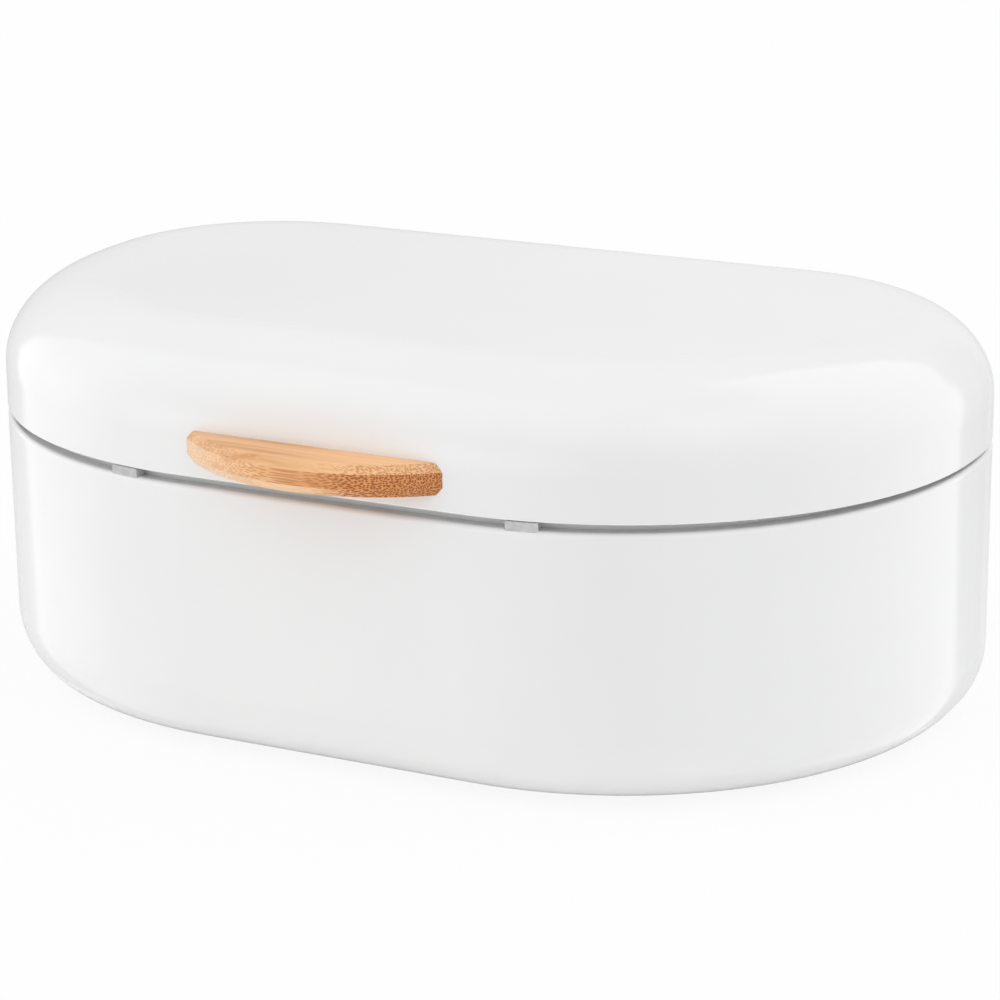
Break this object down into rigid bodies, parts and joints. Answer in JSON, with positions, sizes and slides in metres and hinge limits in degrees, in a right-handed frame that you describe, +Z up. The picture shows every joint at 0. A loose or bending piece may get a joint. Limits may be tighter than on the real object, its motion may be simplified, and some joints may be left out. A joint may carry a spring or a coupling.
{
  "type": "bread box",
  "caption": "Rounded D-plan steel bread box with a domed lid hinged at the back, a bamboo pull at the front and a collar inside the rim.",
  "frame": {"origin": "middle of the bounding box, at the level of the feet's undersides", "axes": "+Z up; the front, with the pull, faces -Y; +X to the right as seen from the front"},
  "size_m": [0.4, 0.2738, 0.1604],
  "materials": {
    "coated_steel": "smooth white powder coat, satin to gloss",
    "collar_steel": "smooth pale grey coat, satin",
    "bamboo": "laminated bamboo, lightly oiled",
    "clear_silicone": "milky clear, satin",
    "plated_steel": "bright nickel plate",
    "foot_rubber": "matt moulded rubber"
  },
  "bodies": {
    "tub": {"tub_shell": "coated_steel", "inner_collar": "collar_steel", "foot_front_left": "foot_rubber", "foot_front_right": "foot_rubber", "foot_back_left": "foot_rubber", "foot_back_right": "foot_rubber", "bumper_left": "clear_silicone", "bumper_right": "clear_silicone", "tub_hinge_leaf_left": "plated_steel", "tub_hinge_leaf_right": "plated_steel", "hinge_pin_left": "plated_steel", "hinge_pin_right": "plated_steel", "tub_rivets_left": "plated_steel", "tub_rivets_right": "plated_steel"},
    "lid": {"lid_shell": "coated_steel", "handle": "bamboo", "handle_screw_left": "plated_steel", "handle_screw_right": "plated_steel", "handle_washer_left": "plated_steel", "handle_washer_right": "plated_steel", "lid_hinge_leaf_left": "plated_steel", "lid_hinge_leaf_right": "plated_steel", "lid_rivets_left": "plated_steel", "lid_rivets_right": "plated_steel"}
  },
  "joints": [
    {"name": "lid_hinge", "type": "hinge", "parent": "tub", "child": "lid", "pos_m": [0, 0.13129, 0.107], "axis": [-1, 0, 0], "range_deg": [0, 100]}
  ]
}
